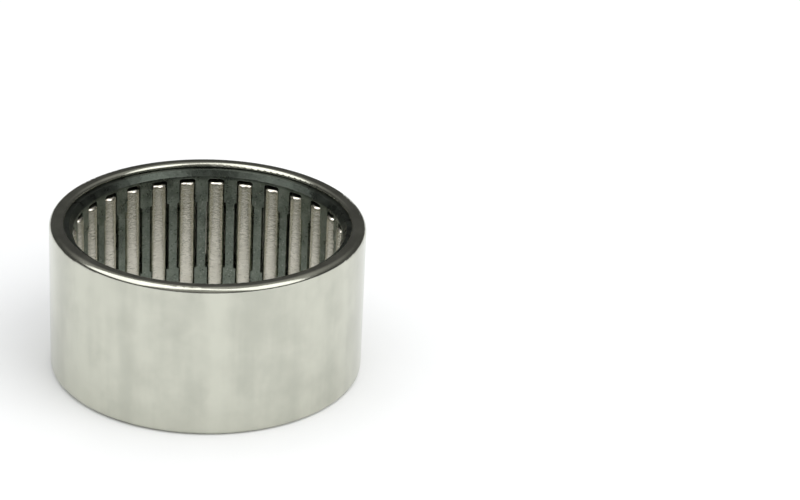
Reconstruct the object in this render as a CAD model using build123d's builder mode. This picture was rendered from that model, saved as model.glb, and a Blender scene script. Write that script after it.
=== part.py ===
"""Drawn cup needle roller bearing with open ends: cup, sheet cage and needle rollers. Millimetres.

The origin is the centre of the bearing, and +Z is its axis.
"""

import math
import os

from build123d import *

os.makedirs("parts", exist_ok=True)

# Main sizes
SHAFT_DIAMETER = 31.75
CUP_WIDTH = 19.05
NEEDLE_DIAMETER = 2.381
NEEDLE_COUNT = 28

# Drawn cup
CUP_WALL = 0.774
LIP_THICKNESS = 0.55
LIP_REACH = 1.03
LIP_OUTER_EDGE_RADIUS = 0.45
LIP_INNER_EDGE_RADIUS = 0.08
CUP_CORNER_RADIUS = 0.7
RACEWAY_CORNER_RADIUS = 0.15

# Cage
CAGE_SHEET = 0.55
CAGE_SHAFT_CLEARANCE = 0.36
CAGE_CUP_CLEARANCE = 0.3
CAGE_BEVEL_DEPTH = 0.45
CAGE_BEVEL_LENGTH = 0.75
CAGE_BEVEL_EDGE_RADIUS = 0.12
CAGE_BEND_RADIUS = 0.1
CAGE_EDGE_RADIUS = 0.12
CAGE_RIM_WIDTH = 1.1
POCKET_STEP_LENGTH = 3.2
POCKET_CORNER_RADIUS = 0.3
POCKET_STEP_RADIUS = 0.2
POCKET_EDGE_RADIUS = 0.05

# Needles
NEEDLE_EDGE_RADIUS = 0.4

# Clearances
RACEWAY_CLEARANCE = 0.02
CAGE_END_CLEARANCE = 0.06
NEEDLE_END_CLEARANCE = 0.4
NEEDLE_SIDE_CLEARANCE = 0.1

# Radii from the shaft out to the housing
shaft_radius = SHAFT_DIAMETER / 2
needle_radius = NEEDLE_DIAMETER / 2
pitch_radius = shaft_radius + needle_radius
raceway_radius = pitch_radius + needle_radius + RACEWAY_CLEARANCE
cup_radius = raceway_radius + CUP_WALL
lip_radius = raceway_radius - LIP_REACH
cage_inner_radius = shaft_radius + CAGE_SHAFT_CLEARANCE
cage_bevel_radius = cage_inner_radius + CAGE_BEVEL_DEPTH
cage_sleeve_radius = cage_inner_radius + CAGE_SHEET
cage_flange_radius = raceway_radius - CAGE_CUP_CLEARANCE

# Half lengths from the middle plane out to the end faces
cup_half_width = CUP_WIDTH / 2
lip_inner_face = cup_half_width - LIP_THICKNESS
cage_half_length = lip_inner_face - CAGE_END_CLEARANCE
bevel_inner_edge = cage_half_length - CAGE_BEVEL_LENGTH
flange_inner_face = cage_half_length - CAGE_SHEET
pocket_half_length = cage_half_length - CAGE_RIM_WIDTH
needle_half_length = pocket_half_length - NEEDLE_END_CLEARANCE
pocket_step = pocket_half_length - POCKET_STEP_LENGTH

pocket_radius = needle_radius + NEEDLE_SIDE_CLEARANCE
pocket_width = 2 * pocket_radius
pocket_slot_depth = 3 * CAGE_SHEET
pocket_slot_centre = (cage_inner_radius + cage_sleeve_radius) / 2


def corner_pair(section, radius, height):
    """The two corners of a section at this radius, this far above and below the middle plane."""
    return [
        corner
        for corner in section.vertices()
        if math.isclose(corner.X, radius, abs_tol=1e-6)
        and math.isclose(abs(corner.Y), height, abs_tol=1e-6)
    ]


# Cup: one section with a lip at each end, turned about the axis
with BuildPart() as drawn_cup:
    with BuildSketch(Plane.XZ) as cup_section:
        with BuildLine():
            Polyline(
                (lip_radius, -cup_half_width),
                (cup_radius, -cup_half_width),
                (cup_radius, cup_half_width),
                (lip_radius, cup_half_width),
                (lip_radius, lip_inner_face),
                (raceway_radius, lip_inner_face),
                (raceway_radius, -lip_inner_face),
                (lip_radius, -lip_inner_face),
                close=True,
            )
        make_face()
        fillet(corner_pair(cup_section, cup_radius, cup_half_width), CUP_CORNER_RADIUS)
        fillet(corner_pair(cup_section, lip_radius, cup_half_width), LIP_OUTER_EDGE_RADIUS)
        fillet(corner_pair(cup_section, lip_radius, lip_inner_face), LIP_INNER_EDGE_RADIUS)
        fillet(corner_pair(cup_section, raceway_radius, lip_inner_face), RACEWAY_CORNER_RADIUS)
    revolve(axis=Axis.Z)

drawn_cup.part.label = "drawn_cup"
export_step(drawn_cup.part, "parts/drawn_cup.step")

# Pocket: the space cut from the sleeve around one needle, wider along its middle
with BuildPart() as middle_slot:
    with Locations((pocket_slot_centre, 0, 0)):
        Box(pocket_slot_depth, pocket_width, 2 * pocket_step)
    fillet(middle_slot.edges().filter_by(Axis.X), radius=POCKET_STEP_RADIUS)

with BuildPart() as needle_space:
    with Locations((pitch_radius, 0, 0)):
        Cylinder(pocket_radius, 2 * pocket_half_length)
    fillet(needle_space.edges().filter_by(GeomType.CIRCLE), radius=POCKET_CORNER_RADIUS)

# Cage: a sheet sleeve with its ends bent outward and bevelled, and one pocket for each needle
with BuildPart() as cage:
    with BuildSketch(Plane.XZ) as cage_section:
        with BuildLine():
            Polyline(
                (cage_inner_radius, -bevel_inner_edge),
                (cage_bevel_radius, -cage_half_length),
                (cage_flange_radius, -cage_half_length),
                (cage_flange_radius, -flange_inner_face),
                (cage_sleeve_radius, -flange_inner_face),
                (cage_sleeve_radius, flange_inner_face),
                (cage_flange_radius, flange_inner_face),
                (cage_flange_radius, cage_half_length),
                (cage_bevel_radius, cage_half_length),
                (cage_inner_radius, bevel_inner_edge),
                close=True,
            )
        make_face()
        fillet(
            corner_pair(cage_section, cage_bevel_radius, cage_half_length),
            CAGE_BEVEL_EDGE_RADIUS,
        )
        fillet(corner_pair(cage_section, cage_sleeve_radius, flange_inner_face), CAGE_BEND_RADIUS)
        fillet(corner_pair(cage_section, cage_flange_radius, cage_half_length), CAGE_EDGE_RADIUS)
        fillet(corner_pair(cage_section, cage_flange_radius, flange_inner_face), CAGE_EDGE_RADIUS)
    revolve(axis=Axis.Z)
    with PolarLocations(0, NEEDLE_COUNT):
        add(needle_space.part, mode=Mode.SUBTRACT)
        add(middle_slot.part, mode=Mode.SUBTRACT)
    pocket_edges = [
        edge
        for edge in cage.edges()
        if abs((edge @ 0.5).Z) < pocket_half_length + POCKET_EDGE_RADIUS
        and all(
            math.isclose(math.hypot((edge @ u).X, (edge @ u).Y), cage_inner_radius, abs_tol=1e-4)
            for u in (0, 0.5, 1)
        )
    ]
    fillet(pocket_edges, radius=POCKET_EDGE_RADIUS)

cage.part.label = "cage"
export_step(cage.part, "parts/cage.step")

# Needles: one solid each, spaced evenly about the axis
for index in range(NEEDLE_COUNT):
    angle = 2 * math.pi * index / NEEDLE_COUNT
    needle_centre = (pitch_radius * math.cos(angle), pitch_radius * math.sin(angle), 0)
    with BuildPart() as needle:
        with Locations(needle_centre):
            Cylinder(needle_radius, 2 * needle_half_length)
        fillet(needle.edges().filter_by(GeomType.CIRCLE), radius=NEEDLE_EDGE_RADIUS)
    name = f"needle_{index + 1:02d}"
    needle.part.label = name
    export_step(needle.part, f"parts/{name}.step")
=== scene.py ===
"""Looks of a drawn cup needle roller bearing: steel materials, soft studio light, floor and camera.

Metres, in the row's frame: the origin is the bearing's centre and +Z is its axis.
"""

import math

import bpy
from mathutils import Matrix, Vector


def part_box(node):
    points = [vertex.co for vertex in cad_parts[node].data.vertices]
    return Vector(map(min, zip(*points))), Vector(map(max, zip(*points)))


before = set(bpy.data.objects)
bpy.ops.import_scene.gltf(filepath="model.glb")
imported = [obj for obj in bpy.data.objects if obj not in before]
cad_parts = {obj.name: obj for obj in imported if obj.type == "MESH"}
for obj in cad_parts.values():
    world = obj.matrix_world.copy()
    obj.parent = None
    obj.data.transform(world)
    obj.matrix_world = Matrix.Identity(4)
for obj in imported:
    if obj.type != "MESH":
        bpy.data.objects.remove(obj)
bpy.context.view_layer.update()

MM = 0.001
NEEDLE_COUNT = sum(name.startswith("needle_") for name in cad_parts)
floor_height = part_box("drawn_cup")[0].z
cage_end_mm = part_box("cage")[1].z / MM


# ---------------------------------------------------------------- node helpers


NOISE_ROUGHNESS = 0.55
BUMP_STRENGTH = 1.07


class Nodes:
    """Adds nodes to one node tree, with their inputs given as values or as other nodes' outputs."""

    def __init__(self, tree):
        self.tree = tree

    def add(self, kind, inputs=None, **settings):
        node = self.tree.nodes.new(kind)
        for name, value in settings.items():
            setattr(node, name, value)
        for name, value in (inputs or {}).items():
            self.feed(node.inputs[name], value)
        return node

    def feed(self, socket, value):
        if isinstance(value, bpy.types.NodeSocket):
            self.tree.links.new(value, socket)
        else:
            socket.default_value = value

    def math(self, operation, a, b=0.0):
        return self.add("ShaderNodeMath", {0: a, 1: b}, operation=operation).outputs[0]

    def position(self, scale=(1.0, 1.0, 1.0)):
        """Object coordinates in millimetres, stretched by scale."""
        where = self.add("ShaderNodeTexCoord").outputs["Object"]
        size = [axis / MM for axis in scale]
        return self.add("ShaderNodeMapping", {"Vector": where, "Scale": size}).outputs[0]

    def noise(self, vector, scale, detail, distortion=0.0):
        """Noise with this many features per millimetre of the vector."""
        node = self.add(
            "ShaderNodeTexNoise",
            {
                "Vector": vector,
                "Scale": scale,
                "Detail": detail,
                "Roughness": NOISE_ROUGHNESS,
                "Distortion": distortion,
            },
        )
        return node.outputs["Fac"]

    def fit(self, value, low, high, to_low=0.0, to_high=1.0):
        """The value's range low to high, eased onto to_low to to_high."""
        node = self.add(
            "ShaderNodeMapRange",
            {
                "Value": value,
                "From Min": low,
                "From Max": high,
                "To Min": to_low,
                "To Max": to_high,
            },
            interpolation_type="SMOOTHSTEP",
        )
        return node.outputs[0]

    def mix(self, factor, a, b):
        """From colour a to colour b, each an RGB tuple or another node's output."""
        node = self.add("ShaderNodeMix", data_type="RGBA")
        factor_socket, a_socket, b_socket = node.inputs[0], node.inputs[6], node.inputs[7]
        self.feed(factor_socket, factor)
        self.feed(a_socket, (*a, 1.0) if isinstance(a, tuple) else a)
        self.feed(b_socket, (*b, 1.0) if isinstance(b, tuple) else b)
        colour_output = node.outputs[2]
        return colour_output

    def bump(self, height, depth, normal=None):
        """A bump of the given depth in millimetres, made a little stronger by BUMP_STRENGTH."""
        inputs = {"Height": height, "Distance": depth * MM, "Strength": BUMP_STRENGTH}
        if normal is not None:
            inputs["Normal"] = normal
        return self.add("ShaderNodeBump", inputs).outputs[0]


def new_material(name):
    """A material that holds only a principled surface, with its nodes and that surface."""
    material = bpy.data.materials.new(name)
    material.use_nodes = True
    material.node_tree.nodes.clear()
    nodes = Nodes(material.node_tree)
    surface = nodes.add("ShaderNodeBsdfPrincipled")
    output = nodes.add("ShaderNodeOutputMaterial")
    material.node_tree.links.new(surface.outputs[0], output.inputs["Surface"])
    return material, nodes, surface


# ---------------------------------------------------------------- materials


CUP_TONES = (0.475, 0.48, 0.415), (0.59, 0.595, 0.515)
CUP_ROUGHNESS = 0.15, 0.2
CUP_GRAIN_ROUGHNESS = 0.02
CUP_GRAIN_DEPTH = 0.0015
CUP_STREAK_SHARE = 0.65

CAGE_TONES = (0.16, 0.185, 0.155), (0.27, 0.305, 0.26)
CAGE_PALE_SPECK = (0.42, 0.45, 0.4)
CAGE_DARK_SPECK = (0.05, 0.06, 0.05)
# Painted shade on the cage's end bevels, where they sit under the cup's lips: its tone, its share, and
# where it starts and is full, in mm from the cage's end.
CAGE_BEVEL_SHADE_TONE = (0.03, 0.035, 0.03)
CAGE_BEVEL_SHADE_SHARE = 0.75
CAGE_BEVEL_SHADE_START = 1.3
CAGE_BEVEL_SHADE_FULL = 0.6
CAGE_ROUGHNESS = 0.24, 0.42
CAGE_SCRATCH_DEPTH = 0.035
CAGE_SPECK_DEPTH = 0.008

NEEDLE_TONES = (0.8, 0.77, 0.67), (0.89, 0.86, 0.76)
NEEDLE_ROUGHNESS = 0.14, 0.24
NEEDLE_FILM_DEPTH = 0.045
NEEDLE_MARK_DEPTH = 0.0015

FLOOR_TONES = (0.86, 0.86, 0.85), (0.89, 0.89, 0.88)
FLOOR_ROUGHNESS = 0.75
FLOOR_SPECULAR = 0.2


def dress_metal(nodes, surface, colour, roughness, normal):
    nodes.feed(surface.inputs["Base Color"], colour)
    nodes.feed(surface.inputs["Metallic"], 1.0)
    nodes.feed(surface.inputs["Roughness"], roughness)
    nodes.feed(surface.inputs["Normal"], normal)


def cup_steel():
    """Drawn and case-hardened steel: satin, with broad soft streaks along the axis and a fine grain."""
    material, nodes, surface = new_material("cup_steel_satin")
    streaks = nodes.noise(nodes.position((0.2, 0.2, 0.02)), 1.0, detail=4.0)
    clouds = nodes.noise(nodes.position(), 0.35, detail=5.0)
    grain = nodes.noise(nodes.position(), 7.0, detail=3.0)
    streak_part = nodes.math("MULTIPLY", streaks, CUP_STREAK_SHARE)
    cloud_part = nodes.math("MULTIPLY", clouds, 1.0 - CUP_STREAK_SHARE)
    tone = nodes.math("ADD", streak_part, cloud_part)
    colour = nodes.mix(nodes.fit(tone, 0.35, 0.65), *CUP_TONES)
    broad_rough = nodes.fit(clouds, 0.3, 0.7, *CUP_ROUGHNESS)
    fine_rough = nodes.fit(grain, 0.35, 0.65, -CUP_GRAIN_ROUGHNESS, CUP_GRAIN_ROUGHNESS)
    roughness = nodes.math("ADD", broad_rough, fine_rough)
    dress_metal(nodes, surface, colour, roughness, nodes.bump(grain, CUP_GRAIN_DEPTH))
    return material


def cage_steel():
    """Dark hardened sheet steel with specks, smears of oil and scratches around it, and painted shade
    darkening its end bevels under the cup's lips.
    """
    material, nodes, surface = new_material("cage_steel_dark")
    smears = nodes.noise(nodes.position(), 0.45, detail=6.0)
    specks = nodes.noise(nodes.position(), 4.5, detail=3.0)
    scratches = nodes.noise(nodes.position((0.25, 0.25, 7.0)), 1.0, detail=5.0, distortion=0.4)
    colour = nodes.mix(nodes.fit(smears, 0.3, 0.7), *CAGE_TONES)
    colour = nodes.mix(nodes.fit(specks, 0.6, 0.72), colour, CAGE_PALE_SPECK)
    colour = nodes.mix(nodes.fit(specks, 0.4, 0.3), colour, CAGE_DARK_SPECK)
    axis_height = nodes.add("ShaderNodeSeparateXYZ", {"Vector": nodes.position()}).outputs["Z"]
    # Painted shade: the cage darkens towards each end, standing in for the shade under the cup's lips.
    bevel_painted_shade = nodes.fit(
        nodes.math("ABSOLUTE", axis_height),
        cage_end_mm - CAGE_BEVEL_SHADE_START,
        cage_end_mm - CAGE_BEVEL_SHADE_FULL,
        0.0,
        CAGE_BEVEL_SHADE_SHARE,
    )
    colour = nodes.mix(bevel_painted_shade, colour, CAGE_BEVEL_SHADE_TONE)
    roughness = nodes.fit(smears, 0.3, 0.7, *CAGE_ROUGHNESS)
    scratch_height = nodes.math("MULTIPLY", scratches, nodes.fit(smears, 0.4, 0.6))
    normal = nodes.bump(scratch_height, CAGE_SCRATCH_DEPTH)
    normal = nodes.bump(specks, CAGE_SPECK_DEPTH, normal)
    dress_metal(nodes, surface, colour, roughness, normal)
    return material


def needle_steel():
    """Ground bearing steel with a warm tone, fine marks around each needle and a wavy film of oil."""
    material, nodes, surface = new_material("needle_steel_ground")
    clouds = nodes.noise(nodes.position(), 0.9, detail=5.0)
    film = nodes.noise(nodes.position((1.0, 1.0, 1.4)), 1.8, detail=5.0, distortion=1.4)
    marks = nodes.noise(nodes.position((0.8, 0.8, 12.0)), 1.0, detail=3.0)
    colour = nodes.mix(nodes.fit(clouds, 0.3, 0.7), *NEEDLE_TONES)
    roughness = nodes.fit(film, 0.35, 0.65, *NEEDLE_ROUGHNESS)
    normal = nodes.bump(film, NEEDLE_FILM_DEPTH)
    normal = nodes.bump(marks, NEEDLE_MARK_DEPTH, normal)
    dress_metal(nodes, surface, colour, roughness, normal)
    return material


def give(node, material):
    """Puts the material in every slot of a CAD node."""
    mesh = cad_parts[node].data
    for index in range(len(mesh.materials)):
        mesh.materials[index] = material


give("drawn_cup", cup_steel())
give("cage", cage_steel())
rollers = needle_steel()
for index in range(NEEDLE_COUNT):
    give(f"needle_{index + 1:02d}", rollers)


# ---------------------------------------------------------------- floor


FLOOR_SIZE = 3.0


def pale_floor():
    """Matt paper with a very faint unevenness."""
    material, nodes, surface = new_material("pale_floor")
    paper = nodes.noise(nodes.position(), 0.02, detail=3.0)
    colour = nodes.mix(nodes.fit(paper, 0.3, 0.7), *FLOOR_TONES)
    nodes.feed(surface.inputs["Base Color"], colour)
    nodes.feed(surface.inputs["Roughness"], FLOOR_ROUGHNESS)
    nodes.feed(surface.inputs["Specular IOR Level"], FLOOR_SPECULAR)
    return material


bpy.ops.mesh.primitive_plane_add(size=FLOOR_SIZE, location=(0, 0, floor_height))
floor = bpy.context.object
floor.name = "floor"
floor.data.materials.append(pale_floor())


# ---------------------------------------------------------------- light


LIGHT_DISTANCE = 0.5
ROOM_TINT = (0.97, 0.98, 1.0, 1.0)
ROOM_BRIGHTNESS = 1.07
REFLECTED_TINT = (1.0, 0.99, 0.95, 1.0)
REFLECTED_LOW = 0.075
REFLECTED_HIGH = 0.42
OVERHEAD_WEIGHT = 0.9
FRONT_WEIGHT = 0.2


def softbox(name, direction, size, brightness, lights_floor):
    """A rectangle of even brightness that faces the bearing from this direction."""
    width, height = size
    light = bpy.data.lights.new(name, "AREA")
    light.shape = "RECTANGLE"
    light.size = width
    light.size_y = height
    light.energy = brightness * math.pi * width * height
    lamp = bpy.data.objects.new(name, light)
    bpy.context.scene.collection.objects.link(lamp)
    towards = Vector(direction).normalized()
    lamp.location = towards * LIGHT_DISTANCE
    lamp.rotation_euler = towards.to_track_quat("Z", "Y").to_euler()
    lamp.visible_diffuse = lights_floor


softbox("left_softbox", (-0.5, -0.2, 0.84), (0.46, 0.64), 1.7, lights_floor=False)
softbox("right_softbox", (0.6, -0.42, 0.78), (0.36, 0.5), 1.8, lights_floor=True)


def studio_world():
    """An even pale room for the floor and the background; metal sees it dark low down and pale above."""
    world = bpy.data.worlds.new("studio")
    world.use_nodes = True
    world.node_tree.nodes.clear()
    nodes = Nodes(world.node_tree)
    direction = nodes.add("ShaderNodeTexCoord").outputs["Generated"]
    axes = nodes.add("ShaderNodeSeparateXYZ", {"Vector": direction}).outputs
    overhead = nodes.math("MULTIPLY", axes["Z"], OVERHEAD_WEIGHT)
    in_front = nodes.math("MULTIPLY", axes["Y"], -FRONT_WEIGHT)
    lit_side = nodes.math("ADD", overhead, in_front)
    walls = nodes.fit(lit_side, 0.2, 0.8, REFLECTED_LOW, REFLECTED_HIGH)
    room = nodes.add("ShaderNodeBackground", {"Color": ROOM_TINT, "Strength": ROOM_BRIGHTNESS})
    reflected = nodes.add("ShaderNodeBackground", {"Color": REFLECTED_TINT, "Strength": walls})
    glossy = nodes.add("ShaderNodeLightPath").outputs["Is Glossy Ray"]
    both = nodes.add("ShaderNodeMixShader", {0: glossy, 1: room.outputs[0], 2: reflected.outputs[0]})
    nodes.add("ShaderNodeOutputWorld", {"Surface": both.outputs[0]})
    return world


bpy.context.scene.world = studio_world()


# ---------------------------------------------------------------- camera

CAMERA_LENS = 111.2
CAMERA_AZIMUTH = math.radians(3.2)
CAMERA_BACK = 271.42 * MM
CAMERA_UP = 133.28 * MM
CAMERA_AIM = Vector((23.32, 0.45, 5.68)) * MM
CAMERA_ROLL = math.radians(-2.995)
CAMERA_NEAREST = 0.01

turn = Matrix.Rotation(CAMERA_AZIMUTH, 3, "Z")
camera_data = bpy.data.cameras.new("camera")
camera_data.lens = CAMERA_LENS
camera_data.clip_start = CAMERA_NEAREST
camera = bpy.data.objects.new("camera", camera_data)
bpy.context.scene.collection.objects.link(camera)
camera.location = turn @ Vector((0, -CAMERA_BACK, CAMERA_UP))
look = turn @ CAMERA_AIM - camera.location
camera.rotation_euler = (
    look.to_track_quat("-Z", "Y").to_matrix() @ Matrix.Rotation(-CAMERA_ROLL, 3, "Z")
).to_euler()
bpy.context.scene.camera = camera
bpy.context.scene.view_settings.view_transform = "Standard"
